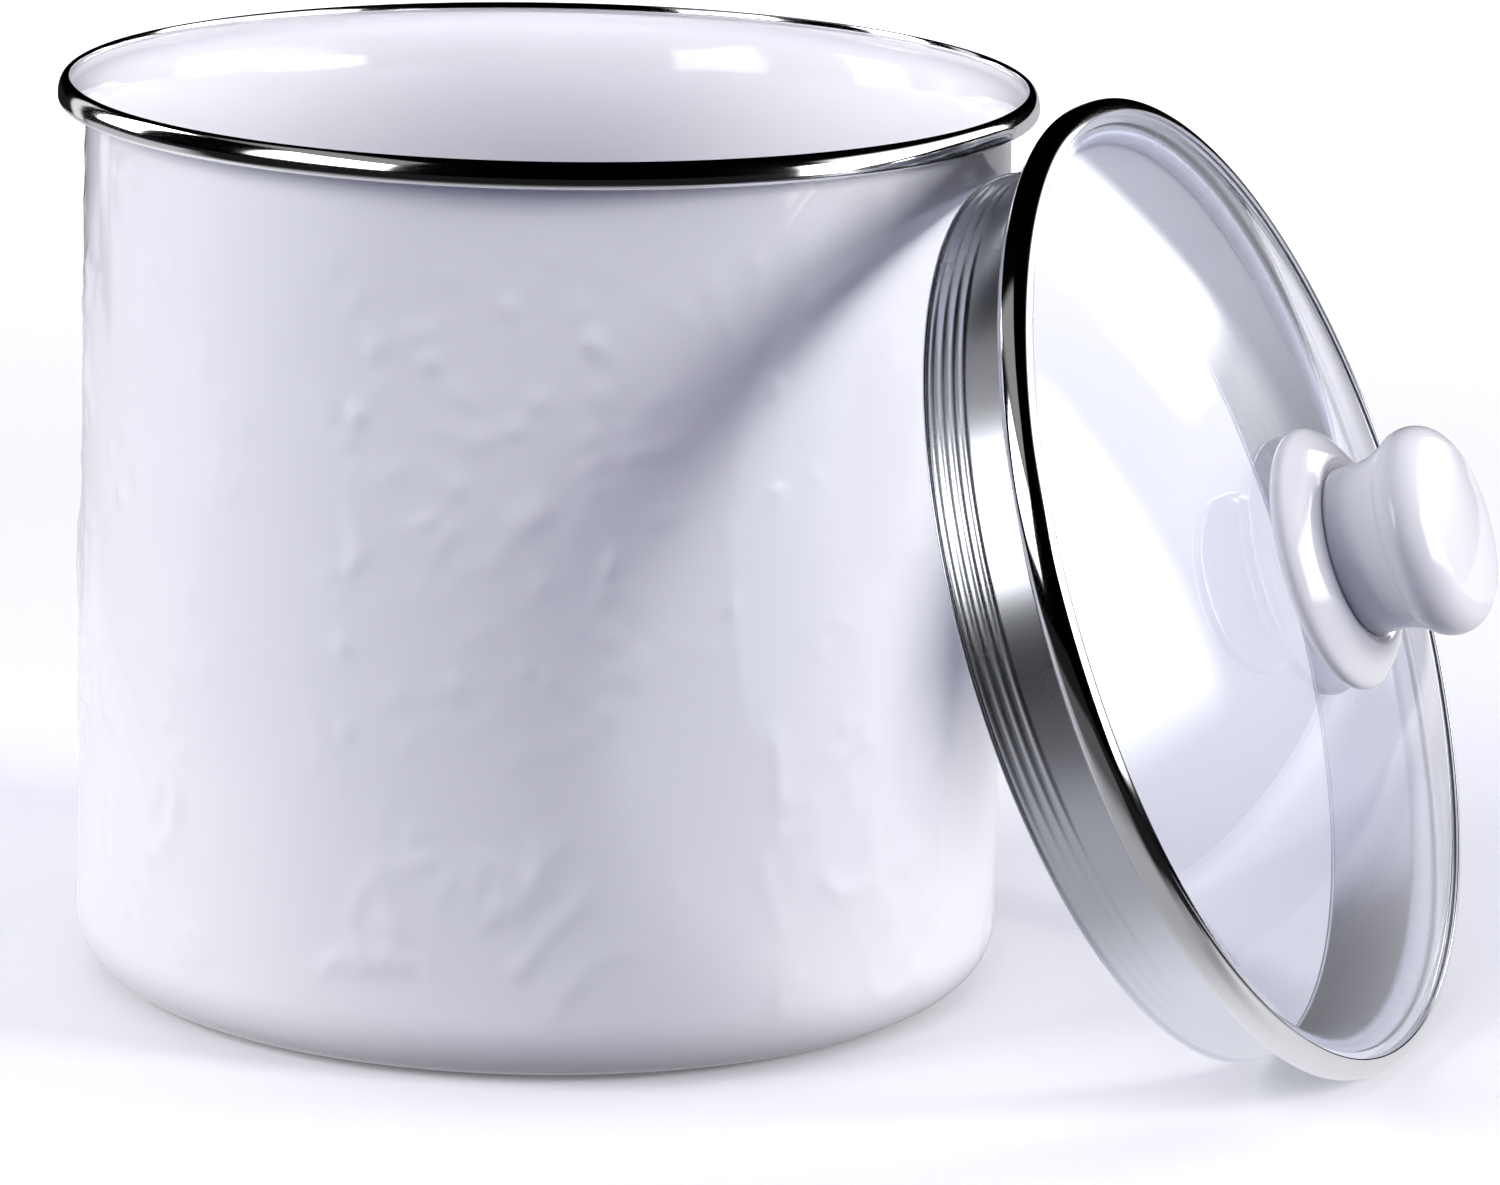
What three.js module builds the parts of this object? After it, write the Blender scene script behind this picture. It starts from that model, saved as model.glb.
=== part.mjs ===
// Enamelled steel canister with a stainless rim, and its domed glass lid.
// The canister stands on the table and the lid, taken off, leans against its wall.
// Millimetres, +Z up. The origin is the centre of the canister's base, on the table.
// Every piece is a solid of revolution about the canister's axis or about the lid's own axis.

import * as THREE from "three";

// How finely the round forms are divided
const largeRingSegments = 44;
const knobSegments = 28;
const fastenerSegments = 24;
const hemSteps = 720;

// Left between pieces that bear on each other
const seatGap = 0.3;

// Canister body
const canisterHeight = 168;
const wallTopRadius = 84.9;
const wallSpread = 1.2;
const rimOverhang = 5.1;
const wallSheet = 0.7;
const baseCornerRadius = 12;
const flareTurn = THREE.MathUtils.degToRad(80);

// Stainless strip rolled over the canister's mouth
const rimBandHeight = 4.8;
const rimBandThickness = 2.3;
const rimBandSheet = 0.45;
const rimCurlRadius = 1.1;
const rimCurlTurn = THREE.MathUtils.degToRad(50);

// Crimped stainless bead round the lid; heights in the lid are measured from its middle plane
const beadOverhang = 1.5;
const beadHeight = 6.4;
const beadSheet = 0.6;
const beadInnerLip = 2.4;

// Domed tempered glass
const glassThickness = 3;
const glassRise = 15.3;
const glassHoleRadius = 4.5;

// Silicone ring under the glass
const sealThickness = 0.5;
const sealWidth = 4;

// Skirt that plugs into the mouth
const skirtClearance = 0.8;
const skirtSheet = 0.5;
const skirtLength = 20.8;
const skirtBendRadius = 2.5;
const flangeInset = 1.5;
const ribCount = 4;
const ribPitch = 2.05;
const ribHeight = 0.55;
const ribCrestWidth = 0.5;
const ribFootWidth = 1.4;
const ribMargin = 0.75;
const hemHeight = 0.7;
const hemThickness = 1.3;

// Knob: a thick rounded disc that carries a mushroom-shaped grip
const discRadius = 24.2;
const discHeight = 7.4;
const discEdgeRadius = 2;
const discCrestRadius = 17.3;
const discDishDepth = 0.7;
const discRecessRadius = 11.6;
const neckRadius = 15.4;
const neckWaistHeight = 6;
const gripRadius = 19.2;
const gripHeight = 21.7;
const gripRoundHeight = 11.8;
const gripCrownRise = 1.2;

// What clamps the knob through the hole in the glass
const upperGasketRadius = 11;
const lowerGasketRadius = 9.5;
const gasketThickness = 0.8;
const washerRadius = 8.5;
const washerThickness = 1;
const screwHeadRadius = 4;
const screwHeadHeight = 2.3;
const shankRadius = 1.9;
const shankClearance = 0.4;
const insertWall = 1.7;
const insertLength = 11.5;
const insertChamfer = 0.4;

// How the lid leans beside the canister: further beside a low one, so that its hem
// stays this far below the foot of the flare
const lidTurn = THREE.MathUtils.degToRad(-21.2);
const lidSwing = THREE.MathUtils.degToRad(-1.2);
const lidLean = THREE.MathUtils.degToRad(21.15);
const hemDrop = 3;

// Worked out from the sizes above
const rimRadius = wallTopRadius + rimOverhang;
const wallFootRadius = wallTopRadius + wallSpread;
const rimChannelHalf = rimBandThickness / 2 - rimBandSheet;
const flangeRadius = rimRadius - rimBandThickness / 2 + wallSheet / 2;
const flangeTop = canisterHeight - rimBandSheet - (rimChannelHalf - wallSheet / 2);
const flareSpread = (flangeRadius - wallTopRadius) / (1 - Math.cos(flareTurn));
const flareBendRadius = (flareSpread - wallSheet) / 2;
const flareFoot = flangeTop - flareSpread * Math.sin(flareTurn);

const beadHalf = beadHeight / 2;
const beadCentreRadius = rimRadius + beadOverhang - beadHalf;
const packRadius = beadHalf - beadSheet - seatGap;
const glassEdgeBottom = packRadius - glassThickness;
const sealTop = glassEdgeBottom - seatGap;
const flangeSheetTop = sealTop - sealThickness - seatGap;
const flangeSheetBottom = flangeSheetTop - skirtSheet;
const domeRadius = (beadCentreRadius ** 2 + glassRise ** 2) / (2 * glassRise);
const domeCentre = packRadius + glassRise - domeRadius;

const mouthRadius = wallTopRadius - wallSheet;
const ribCrestRadius = mouthRadius - skirtClearance;
const skirtRadius = ribCrestRadius - ribHeight;
const hemRound = hemHeight / 2;
const hemCentreRadius = ribCrestRadius - hemRound;
const hemDepth = skirtLength - hemRound;
const discBoreRadius = shankRadius + shankClearance;

// Height of the glass dome's outer face, or with its thickness the inner one
function domeHeight(radius, inset = 0) {
  return domeCentre + Math.sqrt((domeRadius - inset) ** 2 - radius ** 2);
}

// Radius of the canister's tapering wall, outside
function wallRadiusAt(height) {
  const climb = (height - baseCornerRadius) / (flareFoot - baseCornerRadius);
  return THREE.MathUtils.lerp(wallFootRadius, wallTopRadius, climb);
}

// Points along a round stretch of an outline, its two ends included
function arc(centre, radii, fromDegrees, toDegrees, steps) {
  const points = [];
  for (let step = 0; step <= steps; step += 1) {
    const angle = THREE.MathUtils.degToRad(
      THREE.MathUtils.lerp(fromDegrees, toDegrees, step / steps));
    points.push([centre[0] + radii[0] * Math.cos(angle), centre[1] + radii[1] * Math.sin(angle)]);
  }
  return points;
}

function roundArc(centre, radius, fromDegrees, toDegrees, steps) {
  return arc(centre, [radius, radius], fromDegrees, toDegrees, steps);
}

// Turns an outline of [radius, height] points about +Z. An outline that leaves the axis is closed.
function revolve(outline, segments) {
  const points = outline.map(([radius, height]) => new THREE.Vector2(Math.max(radius, 0), height));
  const offAxis = outline[0][0] > 0;
  if (offAxis) {
    points.push(points[0].clone());
  }
  const geometry = new THREE.LatheGeometry(points, segments);
  geometry.rotateX(Math.PI / 2);
  return geometry;
}

// A flat ring or washer
function flatRing(innerRadius, outerRadius, bottom, thickness, segments) {
  return revolve([
    [innerRadius, bottom],
    [outerRadius, bottom],
    [outerRadius, bottom + thickness],
    [innerRadius, bottom + thickness],
  ], segments);
}

function whiteEnamel() {
  return new THREE.MeshStandardMaterial({ color: 0xe6e5f2, roughness: 0.12, metalness: 0 });
}

function polishedSteel() {
  return new THREE.MeshStandardMaterial({ color: 0xc9cbd2, roughness: 0.08, metalness: 1 });
}

function clearGlass() {
  return new THREE.MeshStandardMaterial({
    color: 0xe9f2ef, roughness: 0.02, metalness: 0, transparent: true, opacity: 0.35,
  });
}

function silicone() {
  return new THREE.MeshStandardMaterial({ color: 0xd9dadb, roughness: 0.6, metalness: 0 });
}

function plainSteel() {
  return new THREE.MeshStandardMaterial({ color: 0xa9abb0, roughness: 0.3, metalness: 1 });
}

function brass() {
  return new THREE.MeshStandardMaterial({ color: 0xb08d4a, roughness: 0.35, metalness: 1 });
}

function piece(name, geometry, material) {
  const mesh = new THREE.Mesh(geometry, material);
  mesh.name = name;
  return mesh;
}

// One pot of constant sheet: flat base, rounded corner, slightly tapering wall
// and a mouth that flares in an S to the upright lip under the rim strip
function canisterBody() {
  const turn = THREE.MathUtils.radToDeg(flareTurn);
  const lowBend = [wallTopRadius + flareBendRadius, flareFoot];
  const highBend = [flangeRadius - wallSheet - flareBendRadius, flangeTop];
  const cornerCentre = [wallFootRadius - baseCornerRadius, baseCornerRadius];
  const cornerInside = baseCornerRadius - wallSheet;
  const outside = [
    [0, 0],
    ...roundArc(cornerCentre, baseCornerRadius, -90, 0, 6),
    ...roundArc(lowBend, flareBendRadius, 180, 180 - turn, 3),
    ...roundArc(highBend, flareBendRadius + wallSheet, -turn, 0, 4),
  ];
  const inside = [
    ...roundArc(highBend, flareBendRadius, 0, -turn, 4),
    ...roundArc(lowBend, flareBendRadius + wallSheet, 180 - turn, 180, 3),
    ...roundArc(cornerCentre, cornerInside, 0, -90, 5),
    [0, wallSheet],
  ];
  return piece("canister_body", revolve([...outside, ...inside], largeRingSegments), whiteEnamel());
}

// Strip rolled over the lip: round on top, upright outside, curled in underneath
function canisterRimTrim() {
  const topCentre = [rimRadius - rimBandThickness / 2, canisterHeight - rimBandThickness / 2];
  const curlCentre = [rimRadius - rimCurlRadius, canisterHeight - rimBandHeight + rimCurlRadius];
  const curlEnd = -90 - THREE.MathUtils.radToDeg(rimCurlTurn);
  const outline = [
    ...roundArc(curlCentre, rimCurlRadius, curlEnd, 0, 3),
    ...roundArc(topCentre, rimBandThickness / 2, 0, 180, 5),
    ...roundArc(topCentre, rimChannelHalf, 180, 0, 3),
    ...roundArc(curlCentre, rimCurlRadius - rimBandSheet, 0, curlEnd, 3),
  ];
  return piece("canister_rim_trim", revolve(outline, largeRingSegments), polishedSteel());
}

// Half-round bead crimped over the glass above and over the skirt's flange below
function lidTrim() {
  const centre = [beadCentreRadius, 0];
  const insideHalf = beadHalf - beadSheet;
  const lipRadius = beadCentreRadius - beadInnerLip;
  const outline = [
    [lipRadius, -beadHalf],
    ...roundArc(centre, beadHalf, -90, 90, 7),
    ...roundArc(centre, insideHalf, 90, -90, 5),
    [lipRadius, -insideHalf],
  ];
  return piece("lid_trim", revolve(outline, largeRingSegments), polishedSteel());
}

// Spherical dome of constant thickness with a ground flat under its edge and a hole on top
function lidGlass() {
  const domeSteps = 7;
  const edgeAngle = THREE.MathUtils.radToDeg(Math.asin(glassEdgeBottom / packRadius));
  const landRadius = Math.sqrt(
    (domeRadius - glassThickness) ** 2 - (glassEdgeBottom - domeCentre) ** 2);
  const outline = [
    [landRadius, glassEdgeBottom],
    ...roundArc([beadCentreRadius, 0], packRadius, edgeAngle, 90, 4),
  ];
  for (let step = 1; step <= domeSteps; step += 1) {
    const radius = THREE.MathUtils.lerp(beadCentreRadius, glassHoleRadius, step / domeSteps);
    outline.push([radius, domeHeight(radius)]);
  }
  for (let step = 0; step < domeSteps; step += 1) {
    const radius = THREE.MathUtils.lerp(glassHoleRadius, landRadius, step / domeSteps);
    outline.push([radius, domeHeight(radius, glassThickness)]);
  }
  return piece("lid_glass", revolve(outline, largeRingSegments), clearGlass());
}

function lidSeal() {
  const sealBottom = sealTop - sealThickness;
  const outerRadius = beadCentreRadius + Math.sqrt(packRadius ** 2 - sealBottom ** 2);
  const geometry = flatRing(
    outerRadius - sealWidth, outerRadius, sealBottom, sealThickness, largeRingSegments);
  return piece("lid_seal", geometry, silicone());
}

// One face of the ribbed wall, from the top rib down, pushed inwards by inset
function ribbedFace(inset) {
  const points = [];
  const firstRib = -skirtLength + hemHeight + ribMargin + (ribCount - 1) * ribPitch;
  const valley = skirtRadius - inset;
  for (let rib = 0; rib < ribCount; rib += 1) {
    const middle = firstRib - rib * ribPitch;
    points.push([valley, middle + ribFootWidth / 2]);
    points.push([valley + ribHeight, middle + ribCrestWidth / 2]);
    points.push([valley + ribHeight, middle - ribCrestWidth / 2]);
    points.push([valley, middle - ribFootWidth / 2]);
  }
  return points;
}

// Roll-formed skirt: flange under the glass, bend, plain band, ribs and a folded hem
function lidSkirt() {
  const bendCentre = [skirtRadius + skirtBendRadius, flangeSheetBottom - skirtBendRadius];
  const flangeEdge = beadCentreRadius - flangeInset;
  const hemTop = -skirtLength + hemHeight;
  const hemInside = ribCrestRadius - hemThickness;
  const outline = [
    [hemInside, -skirtLength],
    ...roundArc([hemCentreRadius, -hemDepth], hemRound, -90, 90, 2),
    ...ribbedFace(0).reverse(),
    ...roundArc(bendCentre, skirtBendRadius, 180, 90, 3),
    [flangeEdge, flangeSheetBottom],
    [flangeEdge, flangeSheetTop],
    ...roundArc(bendCentre, skirtBendRadius + skirtSheet, 90, 180, 3),
    ...ribbedFace(skirtSheet),
    [skirtRadius - skirtSheet, hemTop],
    [hemInside, hemTop],
  ];
  return piece("lid_skirt", revolve(outline, largeRingSegments), polishedSteel());
}

// Heights of the parts stacked on the glass crown
const crownTop = domeHeight(glassHoleRadius);
const upperGasketBottom = crownTop + seatGap;
const discRecessTop = upperGasketBottom + gasketThickness + seatGap;
const discFoot = domeHeight(discRadius - discEdgeRadius) + seatGap;
const discCrest = discFoot + discHeight;
const discFloor = discCrest - discDishDepth;
const gripFoot = discFloor + seatGap;

// Thick disc with a rounded edge, dished on top for the neck and hollowed below for the gasket
function knobBaseDisc() {
  const foot = discRadius - discEdgeRadius;
  const recessEdge = domeHeight(discRecessRadius) + seatGap;
  const shoulderFoot = discFoot + discEdgeRadius;
  const edge = roundArc([foot, shoulderFoot], discEdgeRadius, -90, 30, 4);
  const edgeEnd = new THREE.Vector2(...edge.at(-1));
  const shoulder = new THREE.CubicBezierCurve(
    edgeEnd,
    new THREE.Vector2(edgeEnd.x - discEdgeRadius / 4, edgeEnd.y + discEdgeRadius / 2),
    new THREE.Vector2(discCrestRadius + discEdgeRadius, discCrest),
    new THREE.Vector2(discCrestRadius, discCrest));
  const dishEdge = neckRadius + seatGap;
  const outline = [
    [discBoreRadius, discRecessTop],
    [discRecessRadius, discRecessTop],
    [discRecessRadius, recessEdge],
    ...edge,
    ...shoulder.getPoints(4).slice(1).map((point) => [point.x, point.y]),
    ...arc([discCrestRadius, discFloor], [discCrestRadius - dishEdge, discDishDepth], 120, 180, 2),
    [discBoreRadius, discFloor],
  ];
  return piece("knob_base_disc", revolve(outline, knobSegments), whiteEnamel());
}

// Neck that swells into a mushroom-shaped grip, bored from below for the threaded insert
function knobGrip() {
  const waist = gripFoot + neckWaistHeight;
  const gripTop = gripFoot + gripHeight;
  const roundFoot = gripTop - gripCrownRise - gripRoundHeight;
  const roundCentre = [gripRadius - gripRoundHeight / 2, roundFoot + gripRoundHeight / 2];
  const boreRadius = discBoreRadius + insertWall + seatGap;
  const boreTop = gripFoot + insertLength + seatGap;
  const round = roundArc(roundCentre, gripRoundHeight / 2, -45, 75, 7);
  const waistCurve = new THREE.CubicBezierCurve(
    new THREE.Vector2(neckRadius, gripFoot),
    new THREE.Vector2(neckRadius, waist),
    new THREE.Vector2(neckRadius, waist),
    new THREE.Vector2(...round[0]));
  const outline = [
    [0, boreTop],
    [boreRadius, boreTop],
    [boreRadius, gripFoot],
    ...waistCurve.getPoints(5).slice(0, -1).map((point) => [point.x, point.y]),
    ...round,
    ...arc([0, gripTop - gripCrownRise], [roundCentre[0], gripCrownRise], 60, 90, 2),
  ];
  return piece("knob_grip", revolve(outline, knobSegments), whiteEnamel());
}

// Soft gaskets above and below the glass, and the steel washer under them
function knobUpperGasket() {
  const geometry = flatRing(
    discBoreRadius, upperGasketRadius, upperGasketBottom, gasketThickness, fastenerSegments);
  return piece("knob_upper_gasket", geometry, silicone());
}

const lowerGasketTop = domeHeight(lowerGasketRadius, glassThickness) - seatGap;
const washerTop = lowerGasketTop - gasketThickness - seatGap;
const screwSeat = washerTop - washerThickness - seatGap;

function knobLowerGasket() {
  const bottom = lowerGasketTop - gasketThickness;
  const geometry = flatRing(
    discBoreRadius, lowerGasketRadius, bottom, gasketThickness, fastenerSegments);
  return piece("knob_lower_gasket", geometry, silicone());
}

function knobWasher() {
  const geometry = flatRing(
    discBoreRadius, washerRadius, washerTop - washerThickness, washerThickness, fastenerSegments);
  return piece("knob_washer", geometry, plainSteel());
}

// Pan-head screw up through washer, gaskets, glass and disc into the insert
function knobScrew() {
  const headRound = screwHeadHeight / 2;
  const tip = gripFoot + insertLength - seatGap;
  const outline = [
    [0, screwSeat - screwHeadHeight],
    ...roundArc([screwHeadRadius - headRound, screwSeat - headRound], headRound, -90, 0, 3),
    [screwHeadRadius, screwSeat],
    [shankRadius, screwSeat],
    [shankRadius, tip],
    [0, tip],
  ];
  return piece("knob_screw", revolve(outline, fastenerSegments), plainSteel());
}

function knobInsert() {
  const outerRadius = discBoreRadius + insertWall;
  const top = gripFoot + insertLength;
  const outline = [
    [discBoreRadius, gripFoot],
    [outerRadius, gripFoot],
    [outerRadius, top - insertChamfer],
    [outerRadius - insertChamfer, top],
    [discBoreRadius, top],
  ];
  return piece("knob_insert", revolve(outline, fastenerSegments), brass());
}

// The lid in its own frame: +Z runs from the skirt to the knob
function lid() {
  const group = new THREE.Group();
  group.add(
    lidTrim(), lidGlass(), lidSeal(), lidSkirt(),
    knobBaseDisc(), knobGrip(), knobUpperGasket(), knobLowerGasket(),
    knobWasher(), knobScrew(), knobInsert());
  return group;
}

// How far out the leaning lid's centre stands, so that no point of the hem meets the wall or rim
function reachBeside(tilt, height) {
  let reach = 0;
  for (let step = 0; step < hemSteps; step += 1) {
    const angle = 2 * Math.PI * step / hemSteps;
    const hem = new THREE.Vector3(
      hemCentreRadius * Math.cos(angle), hemCentreRadius * Math.sin(angle), -hemDepth);
    hem.applyMatrix4(tilt);
    const beside = height + hem.z < flareFoot ? wallRadiusAt(height + hem.z) : rimRadius;
    const clear = beside + seatGap + hemRound;
    reach = Math.max(reach, Math.sqrt(Math.max(clear ** 2 - hem.y ** 2, 0)) - hem.x);
  }
  return reach;
}

// Tips the lid onto its edge so that the bead bears on the table
// and the top of the hem bears on the canister's wall
function leaningLid() {
  const across = beadCentreRadius + hemCentreRadius;
  const ceiling = (flareFoot - hemDrop - beadHalf) / Math.hypot(across, hemDepth);
  const leastLean = Math.acos(Math.min(ceiling, 1)) - Math.atan2(hemDepth, across);
  const lean = Math.max(lidLean, leastLean);
  const height = beadCentreRadius * Math.cos(lean) + beadHalf;
  const tilt = new THREE.Matrix4().makeRotationY(Math.PI / 2 - lean);
  tilt.premultiply(new THREE.Matrix4().makeRotationZ(lidSwing));
  const tipped = lid();
  tipped.applyMatrix4(tilt);
  tipped.position.set(reachBeside(tilt, height), 0, height);
  const turned = new THREE.Group();
  turned.rotation.z = lidTurn;
  turned.add(tipped);
  return turned;
}

const canister = new THREE.Group();
canister.add(canisterBody(), canisterRimTrim(), leaningLid());

export default canister;
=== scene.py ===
import math

import bpy
import numpy as np
from mathutils import Matrix, Vector


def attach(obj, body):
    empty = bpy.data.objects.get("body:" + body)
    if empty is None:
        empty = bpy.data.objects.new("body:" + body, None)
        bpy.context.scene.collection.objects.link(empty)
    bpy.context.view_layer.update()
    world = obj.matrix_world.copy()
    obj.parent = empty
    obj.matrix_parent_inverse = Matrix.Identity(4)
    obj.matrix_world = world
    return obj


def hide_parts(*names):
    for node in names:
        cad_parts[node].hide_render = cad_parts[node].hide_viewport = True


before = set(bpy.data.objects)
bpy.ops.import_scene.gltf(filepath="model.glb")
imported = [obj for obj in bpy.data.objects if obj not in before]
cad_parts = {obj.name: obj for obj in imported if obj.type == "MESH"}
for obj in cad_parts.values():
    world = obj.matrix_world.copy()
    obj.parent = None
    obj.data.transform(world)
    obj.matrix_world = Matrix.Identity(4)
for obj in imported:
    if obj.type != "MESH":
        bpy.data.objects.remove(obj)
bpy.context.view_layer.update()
mm = 0.001

# ---- camera: stands in front of the canister and a little above it
cameraPlace = {
    "position": (0.0, -1.450339, 0.410451),
    "yaw": 0.0267019,
    "pitch": 0.2294711,
    "roll": 0.0217341,
    "lens": 191.904,
    "sensor": 36.0,
}


def makeCamera(place):
    yaw, pitch, roll = place["yaw"], place["pitch"], place["roll"]
    ahead = Vector((math.sin(yaw) * math.cos(pitch), math.cos(yaw) * math.cos(pitch), -math.sin(pitch)))
    level = Vector((math.cos(yaw), -math.sin(yaw), 0))
    above = level.cross(ahead)
    right = math.cos(roll) * level + math.sin(roll) * above
    up = math.cos(roll) * above - math.sin(roll) * level
    data = bpy.data.cameras.new("camera")
    data.lens = place["lens"]
    data.sensor_width = place["sensor"]
    camera = bpy.data.objects.new("camera", data)
    turn = Matrix((right, up, -ahead)).transposed().to_4x4()
    camera.matrix_world = Matrix.Translation(place["position"]) @ turn
    bpy.context.scene.collection.objects.link(camera)
    bpy.context.scene.camera = camera


makeCamera(cameraPlace)
print("camera placed")


# ---- outlines and surfaces of revolution

leastStep = 1e-4  # points of an outline that are nearer to each other than this count as one
leastRadius = 1e-6  # and points nearer to the axis than this lie on it


def roundRow(centre, radius, start, end, count):
    # centre + radius * (cos a, sin a) for angles a spaced evenly from start to end, in degrees
    angle = np.radians(np.linspace(start, end, count))
    return np.column_stack([centre[0] + radius * np.cos(angle), centre[1] + radius * np.sin(angle)])


def straightRow(start, end, count):
    # points spaced evenly from start towards end, both left out
    share = np.linspace(0, 1, count + 2)[1:-1, None]
    return np.asarray(start) * (1 - share) + np.asarray(end) * share


def curveRow(points, count):
    # cubic curve through a start, two handles and an end: the four points weighted by the
    # products of share and 1 - share to the third degree
    share = np.linspace(0, 1, count)[:, None]
    first, second, third, last = (np.asarray(point, float) for point in points)
    return ((1 - share) ** 3 * first + 3 * (1 - share) ** 2 * share * second
            + 3 * (1 - share) * share ** 2 * third + share ** 3 * last)


def turned(name, outline, around, place=None, swell=None):
    # Surface of revolution: point (i, j) is (r_i cos a_j, r_i sin a_j, h_i), in millimetres, moved by place.
    # The outline runs anticlockwise, outside up and inside down. Ends on the axis become one shared point;
    # an outline off the axis closes on itself. swell(r, h, a) gives what is added to each radius.
    outline = np.asarray(outline, float)
    apart = np.hypot(*np.diff(outline, axis=0).T) > leastStep
    outline = outline[np.append(True, apart)]
    closed = outline[0, 0] > leastRadius
    rows = outline if closed else outline[1:-1]
    angle = np.linspace(0, 2 * np.pi, around, endpoint=False)
    radius = np.repeat(rows[:, :1], around, axis=1)
    height = np.repeat(rows[:, 1:], around, axis=1)
    if swell is not None:
        radius = radius + swell(radius, height, angle)
    points = np.stack([radius * np.cos(angle), radius * np.sin(angle), height], -1).reshape(-1, 3)
    count = len(rows)
    here = np.arange(count if closed else count - 1)
    above = (here + 1) % count
    side = np.arange(around)
    ahead = (side + 1) % around
    quads = np.stack([
        here[:, None] * around + side, here[:, None] * around + ahead,
        above[:, None] * around + ahead, above[:, None] * around + side], -1).reshape(-1, 4)
    fans = np.zeros((0, 3), int)
    if not closed:
        points = np.vstack([points, [0, 0, outline[0, 1]], [0, 0, outline[-1, 1]]])
        low, high = count * around, count * around + 1
        last = (count - 1) * around
        fans = np.vstack([
            np.column_stack([np.full(around, low), ahead, side]),
            np.column_stack([last + side, last + ahead, np.full(around, high)])])
    points = points * mm
    if place is not None:
        points = points @ np.array(place.to_3x3()).T + np.array(place.translation)
    mesh = bpy.data.meshes.new(name)
    mesh.vertices.add(len(points))
    mesh.vertices.foreach_set("co", points.astype(np.float32).ravel())
    corners = np.concatenate([quads.ravel(), fans.ravel()])
    sizes = np.concatenate([np.full(len(quads), 4), np.full(len(fans), 3)])
    mesh.loops.add(len(corners))
    mesh.loops.foreach_set("vertex_index", corners.astype(np.int32))
    mesh.polygons.add(len(sizes))
    mesh.polygons.foreach_set("loop_start", (np.cumsum(sizes) - sizes).astype(np.int32))
    mesh.polygons.foreach_set("use_smooth", np.ones(len(sizes), bool))
    mesh.update(calc_edges=True)
    mesh.validate()
    piece = bpy.data.objects.new(name, mesh)
    bpy.context.scene.collection.objects.link(piece)
    return piece


def fit(piece, body, node, finish):
    piece.data.materials.append(finish)
    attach(piece, body)
    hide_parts(node)


# ---- finishes

def newFinish(name):
    finish = bpy.data.materials.new(name)
    finish.use_nodes = True
    nodes, links = finish.node_tree.nodes, finish.node_tree.links
    shader = nodes["Principled BSDF"]
    where = nodes.new("ShaderNodeTexCoord")
    grow = nodes.new("ShaderNodeVectorMath")  # patterns are set in millimetres
    grow.operation = "SCALE"
    grow.inputs["Scale"].default_value = 1000
    links.new(where.outputs["Object"], grow.inputs[0])
    return finish, nodes, links, shader, grow.outputs[0]


def spread(nodes, links, source, low, high):
    # maps source, from 0 to 1, to the range from low to high
    node = nodes.new("ShaderNodeMapRange")
    node.inputs["To Min"].default_value = low
    node.inputs["To Max"].default_value = high
    links.new(source, node.inputs["Value"])
    return node.outputs["Result"]


def noise(nodes, links, where, scale, detail=2.0):
    node = nodes.new("ShaderNodeTexNoise")
    node.inputs["Scale"].default_value = scale
    node.inputs["Detail"].default_value = detail
    links.new(where, node.inputs["Vector"])
    return node.outputs["Fac"]


def tinted(nodes, links, source, first, second):
    # colour that runs from first to second with source
    ramp = nodes.new("ShaderNodeValToRGB")
    ramp.color_ramp.elements[0].color = (*first, 1)
    ramp.color_ramp.elements[1].color = (*second, 1)
    links.new(source, ramp.inputs["Fac"])
    return ramp.outputs["Color"]


def bumped(nodes, links, source, depth, shader):
    node = nodes.new("ShaderNodeBump")
    node.inputs["Strength"].default_value = 1.0
    node.inputs["Distance"].default_value = depth * mm
    links.new(source, node.inputs["Height"])
    links.new(node.outputs["Normal"], shader.inputs["Normal"])


enamelLook = {
    "palest": (0.83, 0.83, 0.85),
    "deepest": (0.81, 0.81, 0.835),
    "cloudScale": 0.03,
    "roughness": 0.09,
    "ior": 1.52,
    "coat": 0.25,
    "coatRoughness": 0.04,
    "peelScale": 0.35,
    "peelDepth": 0.012,
}


def enamelFinish(name, look):
    finish, nodes, links, shader, where = newFinish(name)
    shader.inputs["Roughness"].default_value = look["roughness"]
    shader.inputs["IOR"].default_value = look["ior"]
    shader.inputs["Coat Weight"].default_value = look["coat"]
    shader.inputs["Coat Roughness"].default_value = look["coatRoughness"]
    cloud = noise(nodes, links, where, look["cloudScale"], 3)
    links.new(tinted(nodes, links, cloud, look["deepest"], look["palest"]), shader.inputs["Base Color"])
    bumped(nodes, links, noise(nodes, links, where, look["peelScale"]), look["peelDepth"], shader)
    return finish


steelLook = {
    "palest": (0.90, 0.90, 0.91),
    "deepest": (0.84, 0.845, 0.86),
    "cloudScale": 0.08,
    "roughness": (0.05, 0.11),
    "roughScale": 0.05,
    "waveScale": 0.12,
    "waveDepth": 0.004,
}


def steelFinish(name, look):
    finish, nodes, links, shader, where = newFinish(name)
    shader.inputs["Metallic"].default_value = 1.0
    cloud = noise(nodes, links, where, look["cloudScale"], 4)
    links.new(tinted(nodes, links, cloud, look["deepest"], look["palest"]), shader.inputs["Base Color"])
    rough = noise(nodes, links, where, look["roughScale"], 1)
    links.new(spread(nodes, links, rough, *look["roughness"]), shader.inputs["Roughness"])
    bumped(nodes, links, noise(nodes, links, where, look["waveScale"]), look["waveDepth"], shader)
    return finish


glassLook = {
    "colour": (0.84, 0.85, 0.91),
    "ior": 1.51,
    "roughness": 0.0,
    "waveScale": 0.03,
    "waveDepth": 0.006,
}


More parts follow.
